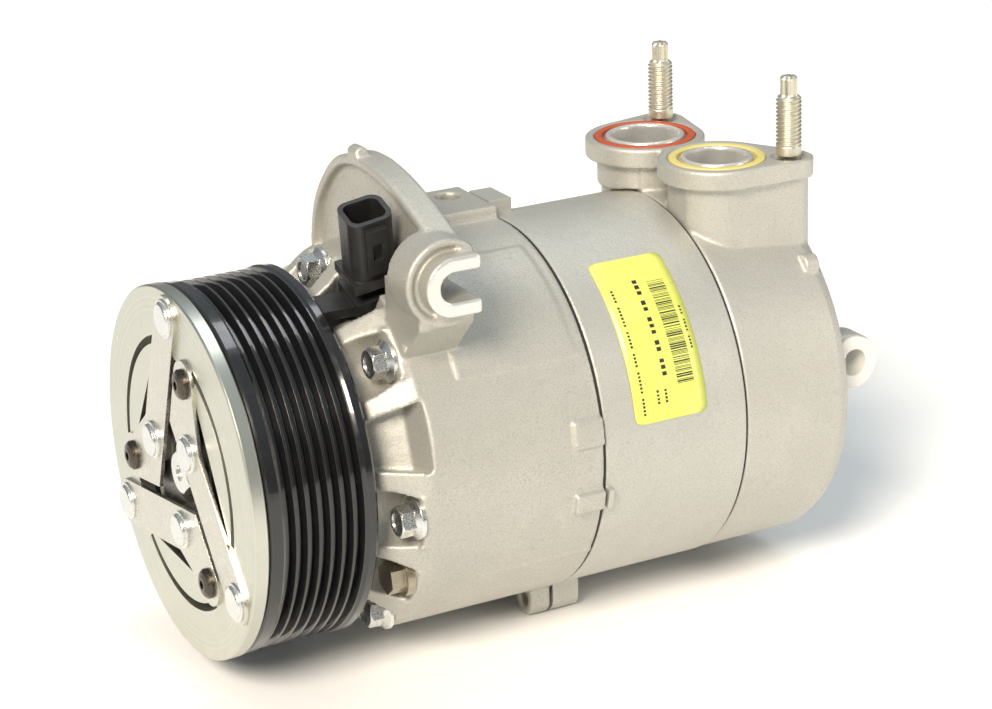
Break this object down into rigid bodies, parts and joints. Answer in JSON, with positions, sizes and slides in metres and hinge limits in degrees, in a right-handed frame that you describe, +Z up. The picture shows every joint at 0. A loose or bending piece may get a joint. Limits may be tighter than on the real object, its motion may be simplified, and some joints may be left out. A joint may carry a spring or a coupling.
{
  "type": "automotive air-conditioning compressor",
  "caption": "Clutch-driven swash-plate refrigerant compressor with a ribbed belt pulley, cast aluminium body, top ports with studs and mounting ears.",
  "frame": {"origin": "on the shaft axis, in the middle plane of the belt grooves", "axes": "+X along the shaft from the clutch to the rear head, +Z up through the port studs, -Y towards the side with the slotted ear face"},
  "size_m": [0.2203, 0.1201, 0.1619],
  "materials": {
    "cast_aluminium": "sand-cast, satin",
    "machined_aluminium": "machined",
    "zinc_steel": "zinc plated, satin",
    "spring_steel": "rolled spring steel",
    "bearing_steel": "ground",
    "black_paint": "gloss black",
    "black_oxide": "oiled black oxide",
    "black_plastic": "moulded",
    "copper": "enamelled wire",
    "gasket_rubber": "coated gasket",
    "red_rubber": "seal ring",
    "yellow_rubber": "seal ring",
    "label_film": "printed film",
    "terminal_brass": "tinned"
  },
  "bodies": {
    "housing": {"front_housing": "cast_aluminium", "cylinder_block": "cast_aluminium", "rear_head": "cast_aluminium", "gasket_front": "gasket_rubber", "gasket_rear": "gasket_rubber", "through_bolts": "zinc_steel", "oil_plug": "zinc_steel", "dowel_pins": "bearing_steel", "coil_housing": "zinc_steel", "coil_winding": "copper", "coil_ring": "spring_steel", "coil_connector": "black_plastic", "connector_terminals": "terminal_brass", "bearing_inner_race": "bearing_steel", "nose_ring": "spring_steel", "shaft_seal": "gasket_rubber", "seal_ring": "spring_steel", "front_bearing": "bearing_steel", "rear_bearing": "bearing_steel", "thrust_bearing": "bearing_steel", "suction_reeds": "spring_steel", "valve_plate": "bearing_steel", "discharge_reeds": "spring_steel", "suction_seal": "red_rubber", "discharge_seal": "yellow_rubber", "port_studs": "zinc_steel", "lug_sleeve": "machined_aluminium", "control_valve": "machined_aluminium", "relief_valve": "zinc_steel", "label": "label_film"},
    "pulley": {"rotor_pulley": "black_paint", "bearing_outer_race": "bearing_steel", "bearing_balls": "bearing_steel"},
    "shaft": {"drive_shaft": "bearing_steel", "lug_plate": "bearing_steel", "return_spring": "spring_steel", "clutch_hub": "black_oxide", "hub_bolt": "zinc_steel", "hub_rivets": "zinc_steel", "stop_pins": "black_oxide", "leaf_springs": "spring_steel"},
    "armature": {"armature_plate": "zinc_steel", "armature_rivets": "zinc_steel"},
    "swash": {"swash_plate": "bearing_steel", "swash_pins": "bearing_steel"},
    "piston_1": {"piston_1": "machined_aluminium"},
    "shoes_1": {"shoes_1": "bearing_steel"},
    "piston_2": {"piston_2": "machined_aluminium"},
    "shoes_2": {"shoes_2": "bearing_steel"},
    "piston_3": {"piston_3": "machined_aluminium"},
    "shoes_3": {"shoes_3": "bearing_steel"},
    "piston_4": {"piston_4": "machined_aluminium"},
    "shoes_4": {"shoes_4": "bearing_steel"},
    "piston_5": {"piston_5": "machined_aluminium"},
    "shoes_5": {"shoes_5": "bearing_steel"},
    "piston_6": {"piston_6": "machined_aluminium"},
    "shoes_6": {"shoes_6": "bearing_steel"},
    "piston_7": {"piston_7": "machined_aluminium"},
    "shoes_7": {"shoes_7": "bearing_steel"}
  },
  "joints": [
    {"name": "pulley_spin", "type": "hinge", "parent": "housing", "child": "pulley", "pos_m": [0, 0, 0], "axis": [1, 0, 0], "continuous": true},
    {"name": "shaft_spin", "type": "hinge", "parent": "housing", "child": "shaft", "pos_m": [0, 0, 0], "axis": [1, 0, 0], "continuous": true},
    {"name": "armature_engage", "type": "slide", "parent": "shaft", "child": "armature", "axis": [1, 0, 0], "range_m": [0, 0.00045], "stiffness_N_per_m": 3000, "deforming": ["leaf_springs"]},
    {"name": "swash_tilt", "type": "hinge", "parent": "housing", "child": "swash", "pos_m": [0.08, 0, 0], "axis": [0, 1, 0], "range_deg": [0, 16], "stiffness_Nm_per_rad": 1, "deforming": ["return_spring"]},
    {"name": "piston_1_slide", "type": "slide", "parent": "housing", "child": "piston_1", "axis": [1, 0, 0], "range_m": [0, 0.00987]},
    {"name": "piston_2_slide", "type": "slide", "parent": "housing", "child": "piston_2", "axis": [1, 0, 0], "range_m": [0, 0.00905]},
    {"name": "piston_3_slide", "type": "slide", "parent": "housing", "child": "piston_3", "axis": [1, 0, 0], "range_m": [0, 0.00157]},
    {"name": "piston_4_slide", "type": "slide", "parent": "housing", "child": "piston_4", "axis": [1, 0, 0], "range_m": [-0.00734, 0]},
    {"name": "piston_5_slide", "type": "slide", "parent": "housing", "child": "piston_5", "axis": [1, 0, 0], "range_m": [-0.01048, 0]},
    {"name": "piston_6_slide", "type": "slide", "parent": "housing", "child": "piston_6", "axis": [1, 0, 0], "range_m": [-0.00587, 0]},
    {"name": "piston_7_slide", "type": "slide", "parent": "housing", "child": "piston_7", "axis": [1, 0, 0], "range_m": [0, 0.00341]},
    {"name": "shoes_1_rock", "type": "hinge", "parent": "piston_1", "child": "shoes_1", "pos_m": [0.08, -0.0126, 0.03372], "axis": [0, 1, 0], "range_deg": [0, 16.5]},
    {"name": "shoes_2_rock", "type": "hinge", "parent": "piston_2", "child": "shoes_2", "pos_m": [0.08, 0.01851, 0.03088], "axis": [0, 1, 0], "range_deg": [0, 16.5]},
    {"name": "shoes_3_rock", "type": "hinge", "parent": "piston_3", "child": "shoes_3", "pos_m": [0.08, 0.03568, 0.00478], "axis": [0, 1, 0], "range_deg": [0, 16.5]},
    {"name": "shoes_4_rock", "type": "hinge", "parent": "piston_4", "child": "shoes_4", "pos_m": [0.08, 0.02598, -0.02492], "axis": [0, 1, 0], "range_deg": [0, 16.5]},
    {"name": "shoes_5_rock", "type": "hinge", "parent": "piston_5", "child": "shoes_5", "pos_m": [0.08, -0.00328, -0.03585], "axis": [0, 1, 0], "range_deg": [0, 16.5]},
    {"name": "shoes_6_rock", "type": "hinge", "parent": "piston_6", "child": "shoes_6", "pos_m": [0.08, -0.03007, -0.01979], "axis": [0, 1, 0], "range_deg": [0, 16.5]},
    {"name": "shoes_7_rock", "type": "hinge", "parent": "piston_7", "child": "shoes_7", "pos_m": [0.08, -0.03422, 0.01118], "axis": [0, 1, 0], "range_deg": [0, 16.5]}
  ],
  "couplings": [
    {"joint": "piston_1_slide", "follows": "swash_tilt", "m_per_rad": 0.034628},
    {"joint": "piston_2_slide", "follows": "swash_tilt", "m_per_rad": 0.031704},
    {"joint": "piston_3_slide", "follows": "swash_tilt", "m_per_rad": 0.0049072},
    {"joint": "piston_4_slide", "follows": "swash_tilt", "m_per_rad": -0.025586},
    {"joint": "piston_5_slide", "follows": "swash_tilt", "m_per_rad": -0.036812},
    {"joint": "piston_6_slide", "follows": "swash_tilt", "m_per_rad": -0.020318},
    {"joint": "piston_7_slide", "follows": "swash_tilt", "m_per_rad": 0.011476},
    {"joint": "shoes_1_rock", "follows": "swash_tilt", "ratio": 1},
    {"joint": "shoes_2_rock", "follows": "swash_tilt", "ratio": 1},
    {"joint": "shoes_3_rock", "follows": "swash_tilt", "ratio": 1},
    {"joint": "shoes_4_rock", "follows": "swash_tilt", "ratio": 1},
    {"joint": "shoes_5_rock", "follows": "swash_tilt", "ratio": 1},
    {"joint": "shoes_6_rock", "follows": "swash_tilt", "ratio": 1},
    {"joint": "shoes_7_rock", "follows": "swash_tilt", "ratio": 1}
  ]
}
